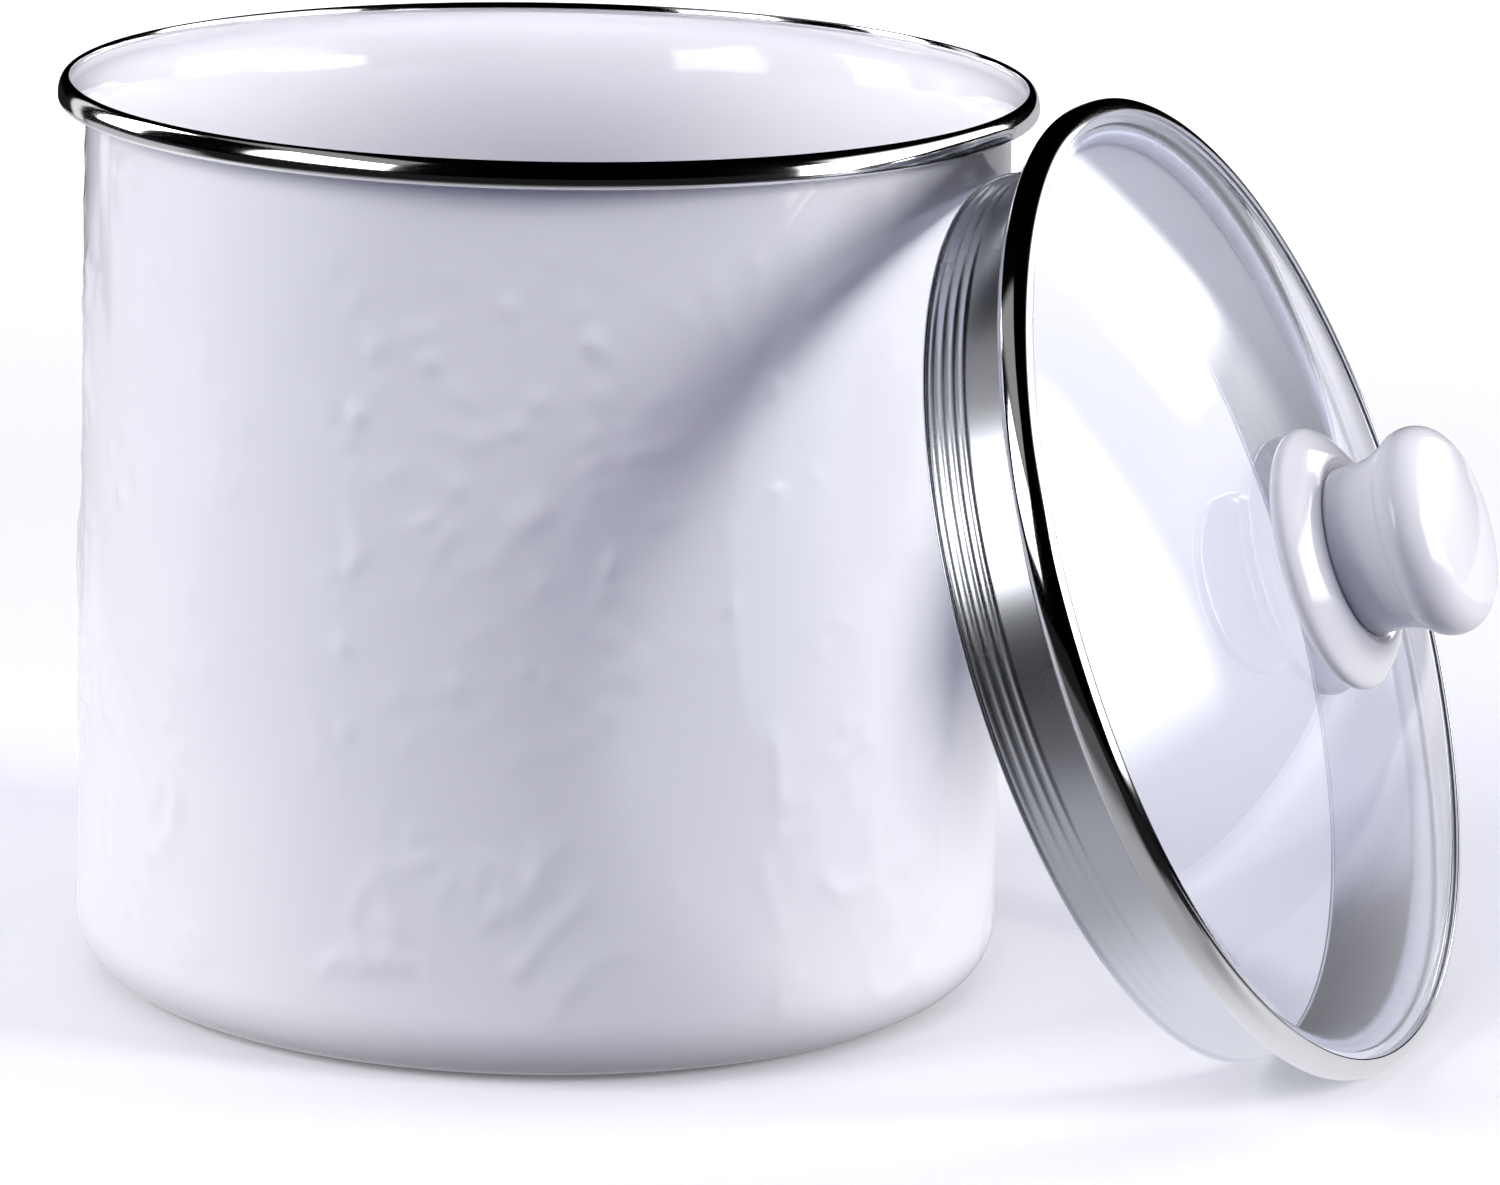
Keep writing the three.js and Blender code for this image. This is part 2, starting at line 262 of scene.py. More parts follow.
def glassFinish(name, look):
    finish, nodes, links, shader, where = newFinish(name)
    shader.inputs["Base Color"].default_value = (*look["colour"], 1)
    shader.inputs["Transmission Weight"].default_value = 1.0
    shader.inputs["Roughness"].default_value = look["roughness"]
    shader.inputs["IOR"].default_value = look["ior"]
    bumped(nodes, links, noise(nodes, links, where, look["waveScale"], 1), look["waveDepth"], shader)
    return finish


softLook = {
    "palest": (0.72, 0.73, 0.74),
    "deepest": (0.62, 0.63, 0.65),
    "cloudScale": 0.3,
    "roughness": 0.5,
    "grainScale": 2.5,
    "grainDepth": 0.02,
}


def softFinish(name, look):
    finish, nodes, links, shader, where = newFinish(name)
    shader.inputs["Roughness"].default_value = look["roughness"]
    cloud = noise(nodes, links, where, look["cloudScale"], 3)
    links.new(tinted(nodes, links, cloud, look["deepest"], look["palest"]), shader.inputs["Base Color"])
    bumped(nodes, links, noise(nodes, links, where, look["grainScale"]), look["grainDepth"], shader)
    return finish


# variants of the looks above
knobLook = dict(enamelLook, palest=(0.86, 0.86, 0.87), deepest=(0.84, 0.84, 0.855), roughness=0.07,
                peelDepth=0.004)
rolledLook = dict(steelLook, palest=(0.84, 0.86, 0.92), deepest=(0.78, 0.80, 0.87), roughness=(0.23, 0.30))
plainLook = dict(steelLook, palest=(0.62, 0.63, 0.65), deepest=(0.5, 0.51, 0.53), roughness=(0.29, 0.4),
                 waveDepth=0.01)
brassLook = dict(steelLook, palest=(0.80, 0.62, 0.30), deepest=(0.66, 0.48, 0.22), roughness=(0.2, 0.35),
                 waveDepth=0.01)

enamelWall = enamelFinish("white enamel", enamelLook)
knobWhite = enamelFinish("white knob", knobLook)
steel = steelFinish("polished steel", steelLook)
rolledSteel = steelFinish("rolled steel", rolledLook)
glass = glassFinish("clear glass", glassLook)
silicone = softFinish("silicone", softLook)
plainSteel = steelFinish("plain steel", plainLook)
brass = steelFinish("brass", brassLook)
print("finishes ready")


# ---- canister

canister = {
    "height": 168.0,
    "wallTopRadius": 84.9,
    "wallFootRadius": 86.1,
    "wallSheet": 0.7,
    "cornerRadius": 12.0,
    "flareFoot": 162.08,
    "flareTurn": 80.0,
    "bendRadius": 2.299,
    "lipRadius": 89.2,
    "lipTop": 167.2,
    "lipTurn": 8,  # the lip ends this many degrees short of level, and its inside starts there
    "insideTurn": 72,
    "lipEnd": (0.71, -2.19),  # outwards and up from the middle of the upper bend
    # the inside, as steps outwards and up: handles of the curve from the lip down to the flare's foot, then
    # from there a steep part and a soft curve to the bulge, which fades out well below
    "lipHandles": ((1.0, 2.0), (0.4, 1.0)),
    "steepPart": (-0.6, -1.65),
    "softHandles": ((-0.8, -2.8), (0, 4)),
    "softFoot": 149.6,
    "bulge": 1.7,
    "bulgeHandles": ((0, -8), (0, 11)),
    "bulgeEnd": (0.3, -28),
    "around": 520,
}
relief = {
    "seed": 11,
    "uneven": (0.6, 1.3),  # of the rises within a curl
    # the bumps start at foot, reach their full rise over fadeIn and lose it over fadeOut at the top
    "foot": 1.0,
    "fadeIn": 9,
    "fadeOut": 4,
    # each set: curls, bumps in a curl, step between bumps, bump width, bump rise, bend per step, and the
    # heights and the degrees round the wall that it starts at, -90 being the front
    "sets": [
        {"curls": 44, "bumps": 5, "step": (5.0, 8.5), "width": (1.5, 2.5), "rise": (0.12, 0.40),
         "bend": 0.9, "from": (14, 150), "round": (-22, 235)},
        {"curls": 110, "bumps": 1, "step": (1.0, 1.0), "width": (1.3, 2.0), "rise": (0.14, 0.38),
         "bend": 0, "from": (60, 148), "round": (-118, -58)},
        {"curls": 7, "bumps": 5, "step": (1.3, 1.8), "width": (1.3, 1.9), "rise": (0.12, 0.26),
         "bend": 0.3, "from": (90, 142), "round": (-112, -78)},
        {"curls": 24, "bumps": 13, "step": (1.2, 1.6), "width": (1.4, 2.0), "rise": (0.05, 0.15),
         "bend": 0.28, "from": (10, 60), "round": (0, 240)},
        {"curls": 9, "bumps": 3, "step": (3.0, 7.0), "width": (1.4, 2.0), "rise": (0.16, 0.34),
         "bend": 0.9, "from": (22, 46), "round": (-116, -74)},
        {"curls": 9, "bumps": 14, "step": (1.2, 1.6), "width": (1.3, 1.8), "rise": (0.12, 0.22),
         "bend": 0.08, "from": (16, 36), "round": (-118, -76)},
        {"curls": 30, "bumps": 11, "step": (1.2, 1.6), "width": (1.5, 2.2), "rise": (0.05, 0.14),
         "bend": 0.28, "from": (60, 150), "round": (-30, 240)},
        {"curls": 20, "bumps": 6, "step": (1.5, 4.0), "width": (1.4, 2.1), "rise": (0.08, 0.24),
         "bend": 0.6, "from": (12, 50), "round": (-62, -30)},
        {"curls": 8, "bumps": 9, "step": (1.2, 1.6), "width": (1.3, 1.9), "rise": (0.05, 0.12),
         "bend": 0.2, "from": (50, 100), "round": (-60, -34)},
        {"curls": 26, "bumps": 4, "step": (3.0, 6.0), "width": (2.0, 3.4), "rise": (0.10, 0.40),
         "bend": 0.7, "from": (50, 145), "round": (-195, -160)},
        {"curls": 240, "bumps": 1, "step": (1.0, 1.0), "width": (5.0, 13.0), "rise": (-0.12, 0.14),
         "bend": 0, "from": (6, 158), "round": (0, 360)},
        {"curls": 60, "bumps": 1, "step": (1.0, 1.0), "width": (1.3, 2.0), "rise": (0.10, 0.30),
         "bend": 0, "from": (50, 152), "round": (-140, -44)},
    ],
}


def curledBumps(look, circle):
    # bumps strung along curls: the heading turns by a fixed bend at each step and the middles are the
    # running sums of step * (cos heading, sin heading), measured round the wall and up it
    chance = np.random.default_rng(look["seed"])
    found = []
    for part in look["sets"]:
        many = (part["curls"], 1)
        heading = chance.uniform(0, 2 * np.pi, many) + (
            chance.normal(0, part["bend"], many) * np.arange(part["bumps"]) if part["bend"] else 0)
        step = chance.uniform(*part["step"], many)
        side = chance.uniform(*part["round"], many) / 360 * circle
        across = side + np.cumsum(step * np.cos(heading), axis=1)
        foot = chance.uniform(*part["from"], many)
        up = foot + np.cumsum(step * np.sin(heading), axis=1)
        width = np.broadcast_to(chance.uniform(*part["width"], many), across.shape)
        rise = chance.uniform(*part["rise"], many) * chance.uniform(*look["uneven"], across.shape)
        found.append(np.stack([across, up, width, rise], -1).reshape(-1, 4))
    return np.vstack(found).T


def enamelRelief(radius, height, angle):
    # sum of soft bumps, each rise * exp(-(arc / width)^2) * exp(-(climb / width)^2), arc and climb being the
    # distances round and up from its middle: a row of heights times a row of angles, so one matrix product
    circle = 2 * np.pi * canister["wallTopRadius"]
    across, up, width, rise = curledBumps(relief, circle)
    rows = height[:, 0]
    arc = (angle[None, :] * canister["wallTopRadius"] - across[:, None] + circle / 2) % circle - circle / 2
    climb = rows[:, None] - up[None, :]
    swell = (np.exp(-(climb / width) ** 2) * rise) @ np.exp(-(arc / width[:, None]) ** 2)
    outside = (np.arange(len(rows)) < outsideRows) & (rows > relief["foot"])
    fade = (np.clip((rows - relief["foot"]) / relief["fadeIn"], 0, 1)
            * np.clip((canister["flareFoot"] - rows) / relief["fadeOut"], 0, 1))
    return swell * (fade * outside)[:, None]


def stepped(start, step):
    return (start[0] + step[0], start[1] + step[1])


def shellOutline(size):
    sheet, corner, bend = size["wallSheet"], size["cornerRadius"], size["bendRadius"]
    turn = size["flareTurn"]
    lowBend = (size["wallTopRadius"] + bend, size["flareFoot"])
    highBend = (size["lipRadius"] - sheet - bend, size["lipTop"])
    cornerCentre = (size["wallFootRadius"] - corner, corner)
    innerWall = size["wallTopRadius"] - sheet
    outside = np.vstack([
        [(0, 0)],
        straightRow((0, 0), (cornerCentre[0], 0), 2),
        roundRow(cornerCentre, corner, -90, 0, 14),
        straightRow((size["wallFootRadius"], corner), (size["wallTopRadius"], size["flareFoot"]), 108),
        roundRow(lowBend, bend, 180, 180 - turn, 7),
        roundRow(highBend, bend + sheet, -turn, -size["lipTurn"], 8),
    ])
    flareFoot = (innerWall, size["flareFoot"])
    lipHandles = [stepped(flareFoot, step) for step in size["lipHandles"]]
    steepEnd = stepped(flareFoot, size["steepPart"])
    bulge = (innerWall - size["bulge"], size["softFoot"])
    below = stepped((innerWall, size["softFoot"]), size["bulgeEnd"])
    foot = (size["wallFootRadius"] - sheet, corner)
    inside = np.vstack([
        roundRow(highBend, bend, -size["lipTurn"], -size["insideTurn"], 9),
        curveRow([stepped(highBend, size["lipEnd"]), *lipHandles, flareFoot], 9)[1:-1],
        [flareFoot],
        straightRow(flareFoot, steepEnd, 1),
        curveRow([steepEnd, stepped(steepEnd, size["softHandles"][0]),
                  stepped(bulge, size["softHandles"][1]), bulge], 12),
        curveRow([bulge, stepped(bulge, size["bulgeHandles"][0]),
                  stepped(below, size["bulgeHandles"][1]), below], 6)[1:],
        straightRow(below, foot, 2),
        roundRow(cornerCentre, corner - sheet, 0, -90, 9),
        straightRow((cornerCentre[0], sheet), (0, sheet), 2),
        [(0, sheet)],
    ])
    return np.vstack([outside, inside]), len(outside) - 1


shellPoints, outsideRows = shellOutline(canister)
shell = turned("canister_shell", shellPoints, canister["around"], swell=enamelRelief)
fit(shell, "canister", "canister_body", enamelWall)

rimStrip = {
    "height": 4.8, "crest": 88.1, "roundHeight": 3.2, "insideWidth": 0.4, "insideHeight": 1.5,
    "sheet": 0.3, "curlRadius": 1.1, "curlTurn": 50.0, "outside": 90.0, "around": 360,
}


def ovalRow(centre, half, start, end, count):
    # centre + (half width * cos a, half height * sin a) for angles a as in roundRow
    angle = np.radians(np.linspace(start, end, count))
    return np.column_stack([centre[0] + half[0] * np.cos(angle), centre[1] + half[1] * np.sin(angle)])


def rimOutline(size):
    sheet, curlRadius = size["sheet"], size["curlRadius"]
    half = (size["outside"] - size["crest"], size["roundHeight"])
    crown = (size["crest"], canister["height"] - half[1])
    inner = (size["crest"], canister["height"] - size["insideHeight"])
    innerHalf = (size["insideWidth"], size["insideHeight"])
    curl = (size["outside"] - curlRadius, canister["height"] - size["height"] + curlRadius)
    end = -90 - size["curlTurn"]
    return np.vstack([
        roundRow(curl, curlRadius, end, 0, 12),
        [(size["outside"], (curl[1] + crown[1]) / 2)],
        ovalRow(crown, half, 0, 90, 26),
        ovalRow(inner, innerHalf, 90, 180, 10)[1:],
        [(inner[0] - innerHalf[0] + sheet, inner[1])],
        ovalRow(crown, (half[0] - sheet, half[1] - sheet), 90, 0, 16),
        roundRow(curl, curlRadius - sheet, 0, end, 8),
    ])


rim = turned("canister_rim", rimOutline(rimStrip), rimStrip["around"])
fit(rim, "canister", "canister_rim_trim", steel)
print("canister made")


# ---- lid: made about its own axis, +Z from the skirt to the knob, then leant against the canister

lidPlace = {"centre": (0.12554336, -0.04869506, 0.08555203), "turn": -22.4, "lean": 21.15}
lidMatrix = (Matrix.Translation(lidPlace["centre"])
             @ Matrix.Rotation(math.radians(lidPlace["turn"]), 4, "Z")
             @ Matrix.Rotation(math.radians(90 - lidPlace["lean"]), 4, "Y"))

# the bead's outer face is flatter than its tube: an arc of faceRadius between -faceTurn and faceTurn. Where
# they meet, the tube stops tubeTrim degrees short and the face faceTrim degrees short, which eases the edge
bead = {
    "outside": 91.5, "height": 6.4, "sheet": 0.6, "innerLip": 2.4, "lipOverrun": 0.01,
    "faceTurn": 27.0, "faceRadius": 9.0, "tubeTrim": 3, "faceTrim": 1, "around": 420,
}
beadHalf = bead["height"] / 2
beadCentre = bead["outside"] - beadHalf


def beadOutline(size):
    inside = beadHalf - size["sheet"]
    lip = beadCentre - size["innerLip"]
    turn, flat = size["faceTurn"], size["faceRadius"]
    tubeTurn, trim = turn + size["tubeTrim"], size["faceTrim"]
    halfFace = beadHalf * math.sin(math.radians(turn))
    faceCentre = beadCentre + beadHalf * math.cos(math.radians(turn)) - math.sqrt(flat ** 2 - halfFace ** 2)
    faceEnd = math.degrees(math.asin(halfFace / flat))
    return np.vstack([
        straightRow((lip - size["lipOverrun"], -beadHalf), (beadCentre, -beadHalf), 3),
        roundRow((beadCentre, 0), beadHalf, -90, -tubeTurn, 14),
        roundRow((faceCentre, 0), flat, -faceEnd + trim, faceEnd - trim, 12),
        roundRow((beadCentre, 0), beadHalf, tubeTurn, 90, 14),
        roundRow((beadCentre, 0), inside, 90, -90, 20),
        straightRow((beadCentre, -inside), (lip, -inside), 3),
    ])


lidBead = turned("lid_bead", beadOutline(bead), bead["around"], lidMatrix)
fit(lidBead, "lid", "lid_trim", steel)

dome = {"thickness": 3.0, "rise": 15.3, "hole": 4.5, "gap": 0.3, "around": 256}
packRadius = beadHalf - bead["sheet"] - dome["gap"]
domeRadius = (beadCentre ** 2 + dome["rise"] ** 2) / (2 * dome["rise"])
domeCentre = packRadius + dome["rise"] - domeRadius
edgeBottom = packRadius - dome["thickness"]


def domeHeight(radius, inset=0.0):
    # height of a sphere's cap: centre + sqrt((sphere radius - inset)^2 - radius^2)
    return domeCentre + np.sqrt((domeRadius - inset) ** 2 - np.asarray(radius) ** 2)


def domeOutline(size):
    land = math.sqrt((domeRadius - size["thickness"]) ** 2 - (edgeBottom - domeCentre) ** 2)
    edgeAngle = math.degrees(math.asin(edgeBottom / packRadius))
    outer = np.linspace(beadCentre, size["hole"], 40)[1:]
    inner = np.linspace(size["hole"], land, 40)[:-1]
    return np.vstack([
        [(land, edgeBottom)],
        roundRow((beadCentre, 0), packRadius, edgeAngle, 90, 12),
        np.column_stack([outer, domeHeight(outer)]),
        np.column_stack([inner, domeHeight(inner, size["thickness"])]),
    ])


lidGlass = turned("lid_dome", domeOutline(dome), dome["around"], lidMatrix)
fit(lidGlass, "lid", "lid_glass", glass)
lidGlass.visible_shadow = False  # light reaches what stands behind the glass
lidGlass.visible_diffuse = False

seal = {"thickness": 0.5, "width": 4.0, "around": 220}
sealTop = edgeBottom - dome["gap"]
sealBottom = sealTop - seal["thickness"]


def ringOutline(inner, outer, bottom, top, edge=0.12):
    # flat ring whose four edges are eased with the radius edge
    return np.vstack([
        roundRow((inner + edge, bottom + edge), edge, 180, 270, 4),
        roundRow((outer - edge, bottom + edge), edge, 270, 360, 4),
        roundRow((outer - edge, top - edge), edge, 0, 90, 4),
        roundRow((inner + edge, top - edge), edge, 90, 180, 4),
    ])


sealOutside = beadCentre + math.sqrt(packRadius ** 2 - sealBottom ** 2)
lidSeal = turned("lid_seal_ring", ringOutline(sealOutside - seal["width"], sealOutside, sealBottom, sealTop),
                 seal["around"], lidMatrix)
fit(lidSeal, "lid", "lid_seal", silicone)

skirt = {
    "crestRadius": 83.4, "length": 20.8, "sheet": 0.5, "bendRadius": 2.5, "flangeInset": 1.5,
    "ribCount": 4, "ribPitch": 2.05, "ribHeight": 0.55, "ribWidth": 1.7, "ribMargin": 0.75,
    "ribShares": (0.24, 0.24, 0.28, 0.32),  # from the hem up
    "ribsInside": 0.12,  # how much of the ribs shows on the inside
    "faceRows": 84, "hemHeight": 0.7, "hemThickness": 1.3, "hemGap": 0.02, "around": 420,
}
skirtRadius = skirt["crestRadius"] - skirt["ribHeight"]
flangeTop = sealBottom - dome["gap"]
flangeBottom = flangeTop - skirt["sheet"]


def ribbedFace(size, inset, showing=1.0):
    # radius = plain radius + sum of ribs, each showing * rib share * height * cos^2 within its width
    hemTop = -size["length"] + size["hemHeight"]
    bendStart = flangeBottom - size["bendRadius"]
    height = np.linspace(hemTop + size["hemGap"], bendStart, size["faceRows"])[:-1]
    radius = np.full_like(height, skirtRadius - inset)
    for rib in range(size["ribCount"]):
        middle = hemTop + size["ribMargin"] + rib * size["ribPitch"]
        near = np.clip((height - middle) / size["ribWidth"], -0.5, 0.5)
        radius += showing * size["ribShares"][rib] * size["ribHeight"] * np.cos(np.pi * near) ** 2
    return np.column_stack([radius, height])


def skirtOutline(size):
    bend = (skirtRadius + size["bendRadius"], flangeBottom - size["bendRadius"])
    flangeEdge = beadCentre - size["flangeInset"]
    hemRound = size["hemHeight"] / 2
    hemInside = size["crestRadius"] - size["hemThickness"]
    hemMiddle = -size["length"] + hemRound
    return np.vstack([
        roundRow((size["crestRadius"] - hemRound, hemMiddle), hemRound, -90, 90, 14),
        ribbedFace(size, 0),
        roundRow(bend, size["bendRadius"], 180, 90, 10),
        [(flangeEdge, flangeBottom), (flangeEdge, flangeTop)],
        roundRow(bend, size["bendRadius"] + size["sheet"], 90, 180, 10),
        ribbedFace(size, size["sheet"], size["ribsInside"])[::-1],
        roundRow((hemInside + hemRound, hemMiddle), hemRound, 90, 270, 14),
    ])


lidSkirt = turned("lid_skirt_ring", skirtOutline(skirt), skirt["around"], lidMatrix)
fit(lidSkirt, "lid", "lid_skirt", rolledSteel)
print("lid ring made")

knob = {
    "discRadius": 24.2, "discHeight": 7.4, "discEdge": 2.0, "edgeTurn": 30, "crestRadius": 17.3,
    "dishDepth": 0.7, "recessRadius": 11.6, "neckRadius": 15.4, "waist": 6.0, "gripRadius": 19.2,
    "gripHeight": 21.7, "roundHeight": 11.8, "headFrom": -45, "headTo": 75, "crownRise": 1.2, "gap": 0.3,
    "edgePull": (-0.5, 1.0), "crestPull": 2.0, "dishPull": 0.9,  # handles of the disc's curves
    "around": 256,
}
clamp = {
    "upperGasket": 11.0, "lowerGasket": 9.5, "gasketThickness": 0.8, "washer": 8.5, "washerThickness": 1.0,
    "ringEdge": 0.2, "headRadius": 4.0, "headHeight": 2.3, "headRound": 1.15, "headEdge": 0.1, "shank": 1.9,
    "tipEdge": 0.3, "clearance": 0.4, "insertWall": 1.7, "insertLength": 11.5, "insertEdge": 0.4,
    "around": 96,
}
bore = clamp["shank"] + clamp["clearance"]
upperGasketBottom = float(domeHeight(dome["hole"])) + knob["gap"]
recessTop = upperGasketBottom + clamp["gasketThickness"] + knob["gap"]
discFoot = float(domeHeight(knob["discRadius"] - knob["discEdge"])) + knob["gap"]
discCrest = discFoot + knob["discHeight"]
discFloor = discCrest - knob["dishDepth"]
gripFoot = discFloor + knob["gap"]


def discOutline(size):
    foot = size["discRadius"] - size["discEdge"]
    shoulder = discFoot + size["discEdge"]
    recessEdge = float(domeHeight(size["recessRadius"])) + size["gap"]
    edge = roundRow((foot, shoulder), size["discEdge"], -90, size["edgeTurn"], 20)
    last = edge[-1]
    crest, dish = (size["crestRadius"], discCrest), (size["neckRadius"], discFloor)
    pull = size["dishPull"]
    return np.vstack([
        [(bore, recessTop), (size["recessRadius"], recessTop), (size["recessRadius"], recessEdge)],
        straightRow((size["recessRadius"], recessEdge), (foot, discFoot), 6),
        edge,
        curveRow([last, last + size["edgePull"], (crest[0] + size["crestPull"], crest[1]), crest], 24)[1:],
        curveRow([crest, (crest[0] - pull, crest[1]), (dish[0] + pull, dish[1]), dish], 12)[1:],
        straightRow(dish, (bore, discFloor), 4),
        [(bore, discFloor)],
    ])


def gripOutline(size):
    top = gripFoot + size["gripHeight"]
    half = size["roundHeight"] / 2
    roundCentre = (size["gripRadius"] - half, top - size["crownRise"] - half)
    head = roundRow(roundCentre, half, size["headFrom"], size["headTo"], 40)
    boreRadius = bore + clamp["insertWall"] + size["gap"]
    boreTop = gripFoot + clamp["insertLength"] + size["gap"]
    waist = (size["neckRadius"], gripFoot + size["waist"])
    neck = curveRow([(size["neckRadius"], gripFoot), waist, waist, head[0]], 30)
    crown = np.column_stack([np.linspace(head[-1, 0], 0, 24)[1:]] * 2)
    share = 1 - (crown[:, 0] / head[-1, 0]) ** 2
    crown[:, 1] = head[-1, 1] + (top - head[-1, 1]) * share
    return np.vstack([
        [(0, boreTop), (boreRadius, boreTop), (boreRadius, gripFoot)],
        straightRow((boreRadius, gripFoot), (size["neckRadius"], gripFoot), 3),
        neck, head[1:], crown])


knobDisc = turned("knob_disc", discOutline(knob), knob["around"], lidMatrix)
fit(knobDisc, "lid", "knob_base_disc", knobWhite)
knobHead = turned("knob_head", gripOutline(knob), knob["around"], lidMatrix)
fit(knobHead, "lid", "knob_grip", knobWhite)

lowerTop = float(domeHeight(clamp["lowerGasket"], dome["thickness"])) - knob["gap"]
washerTop = lowerTop - clamp["gasketThickness"] - knob["gap"]
screwSeat = washerTop - clamp["washerThickness"] - knob["gap"]
smallRings = [
    ("knob_gasket_above", "knob_upper_gasket", "silicone", silicone, clamp["upperGasket"],
     upperGasketBottom, upperGasketBottom + clamp["gasketThickness"]),
    ("knob_gasket_below", "knob_lower_gasket", "silicone", silicone, clamp["lowerGasket"],
     lowerTop - clamp["gasketThickness"], lowerTop),
    ("knob_clamp_washer", "knob_washer", "plain_steel", plainSteel, clamp["washer"],
     washerTop - clamp["washerThickness"], washerTop),
]
for name, node, slot, finish, outer, bottom, top in smallRings:
    ring = turned(name, ringOutline(bore, outer, bottom, top, clamp["ringEdge"]), clamp["around"], lidMatrix)
    fit(ring, "lid", node, finish)


def screwOutline(size):
    low = screwSeat - size["headHeight"]
    head, around, edge = size["headRadius"], size["headRound"], size["headEdge"]
    shank, tipEdge = size["shank"], size["tipEdge"]
    tip = gripFoot + size["insertLength"] - knob["gap"]
    return np.vstack([
        [(0, low)],
        straightRow((0, low), (head - around, low), 4),
        roundRow((head - around, low + around), around, -90, 0, 12),
        [(head, screwSeat - edge), (head - edge, screwSeat), (shank, screwSeat)],
        [(shank, tip - tipEdge), (shank - tipEdge, tip), (0, tip)],
    ])


screw = turned("knob_clamp_screw", screwOutline(clamp), clamp["around"], lidMatrix)
fit(screw, "lid", "knob_screw", plainSteel)
insertOutline = ringOutline(bore, bore + clamp["insertWall"], gripFoot, gripFoot + clamp["insertLength"],
                            clamp["insertEdge"])
insert = turned("knob_brass_insert", insertOutline, clamp["around"], lidMatrix)
fit(insert, "lid", "knob_insert", brass)
print("knob made")


# ---- studio: a pale table, soft boxes that light the surfaces, and panels that only reflections see

studio = {
    "roomColour": (0.17, 0.17, 1.0), "roomLight": 0.13,
    "tableReach": 6.0, "tableHeight": -0.0002, "tableColour": (0.87, 0.87, 0.88), "tableGlow": 0.07,
    "farGlow": 1.0, "farSoft": 1.2,
    "farEdges": (("Y", 0.35, 20), ("Y", -20, -0.6), ("X", 0.6, 20), ("X", -20, -0.6)),
    "middle": (0.04, 0.0, 0.08), "boxDistance": 2.4,
}
# azimuth 0 is towards the camera and 90 to the right; wide and tall are in degrees, seen from the middle
softBoxes = [
    {"name": "left box", "azimuth": -72, "elevation": 21, "wide": 36, "tall": 36, "watts": 60.0},
    {"name": "key box", "azimuth": 68, "elevation": 17, "wide": 15, "tall": 27, "watts": 52.0},
    {"name": "front box", "azimuth": -20, "elevation": 38, "wide": 30, "tall": 30, "watts": 7.5},
    {"name": "back box", "azimuth": 112, "elevation": 24, "wide": 30, "tall": 30, "watts": 15.0},
    {"name": "top box", "azimuth": 180, "elevation": 75, "wide": 60, "tall": 60, "watts": 24.0},
]
# side panels stand at x: patches of light on black, from front to back in y and from bottom to top in z,
# that fade out over soft at their edges
sidePanels = [
    {"name": "left panel", "x": -0.333, "patches": [
        {"y": (-0.50, -0.14), "z": (0.18, 0.45), "soft": 0.04, "glow": 4.5},
        {"y": (0.03, 0.17), "z": (0.16, 0.42), "soft": 0.03, "glow": 14.0},
        {"y": (-0.55, 0.12), "z": (0.42, 0.85), "soft": 0.08, "glow": 0.28}]},
    {"name": "left far panel", "x": -0.333, "patches": [
        {"y": (0.24, 0.38), "z": (0.05, 0.35), "soft": 0.04, "glow": 0.8}]},
    {"name": "right panel", "x": 0.333, "patches": [
        {"y": (-0.255, 0.0), "z": (0.09, 0.28), "soft": 0.03, "glow": 5.5},
        {"y": (0.055, 0.22), "z": (0.18, 0.33), "soft": 0.035, "glow": 5.5},
        {"y": (-0.2, 0.23), "z": (0.11, 0.38), "soft": 0.07, "glow": 1.8}]},
]
# painted floor reflection: the table as steel and enamel mirror it is a glowing sheet, not a lit one. Its
# patches of light on black paint the table's light and shade, and fade out over soft outside their edges
paintedFloorReflection = {"colour": (0.95, 0.95, 1.0), "base": 0.012, "reach": 5.0, "height": -0.0004}
floorPatches = [
    {"x": (0.12, 0.42), "y": (-0.10, 0.3), "soft": 0.05, "glow": 0.45},      # by the lid
    {"x": (-0.25, 0.28), "y": (-0.17, 0.25), "soft": 0.08, "glow": 0.32},    # round the pot
    {"x": (0.1, 5.0), "y": (0.35, 5.0), "soft": 0.15, "glow": 0.55},         # behind on the right
    {"x": (-1.0, -0.1), "y": (0.05, 0.6), "soft": 0.2, "glow": 0.55},        # behind on the left
    {"x": (-0.4, 0.1), "y": (-0.34, 0.5), "soft": 0.1, "glow": 0.085},       # in front
]
bounceCard = {"x": (-0.25, 0.3), "y": (-0.17, 0.25), "height": -0.0006, "shade": (0.28, 0.28, 0.30)}


def aimed(azimuth, elevation, distance):
    # stands at that distance from the middle and faces it
    turn, climb = math.radians(azimuth), math.radians(elevation)
    outward = Vector((math.sin(turn) * math.cos(climb), -math.cos(turn) * math.cos(climb), math.sin(climb)))
    place = Vector(studio["middle"]) + distance * outward
    return Matrix.Translation(place) @ (-outward).to_track_quat("-Z", "Y").to_matrix().to_4x4()


def hidden(piece, *rays):
    for ray in rays:
        setattr(piece, "visible_" + ray, False)


def plainFinish(name, colour, glow=0.0):
    finish = bpy.data.materials.new(name)
    finish.use_nodes = True
    shader = finish.node_tree.nodes["Principled BSDF"]
    shader.inputs["Base Color"].default_value = (*colour, 1)
    shader.inputs["Roughness"].default_value = 1.0
    shader.inputs["Specular IOR Level"].default_value = 0.0
    shader.inputs["Emission Color"].default_value = (1, 1, 1, 1)
    shader.inputs["Emission Strength"].default_value = glow
    return finish


def stagePiece(name, corners, faces, finish, *rays):
    # a piece of the studio, hidden from the named rays
    mesh = bpy.data.meshes.new(name)
    mesh.from_pydata(corners, [], faces)
    mesh.materials.append(finish)
    piece = bpy.data.objects.new(name, mesh)
    bpy.context.scene.collection.objects.link(piece)
    hidden(piece, *rays)


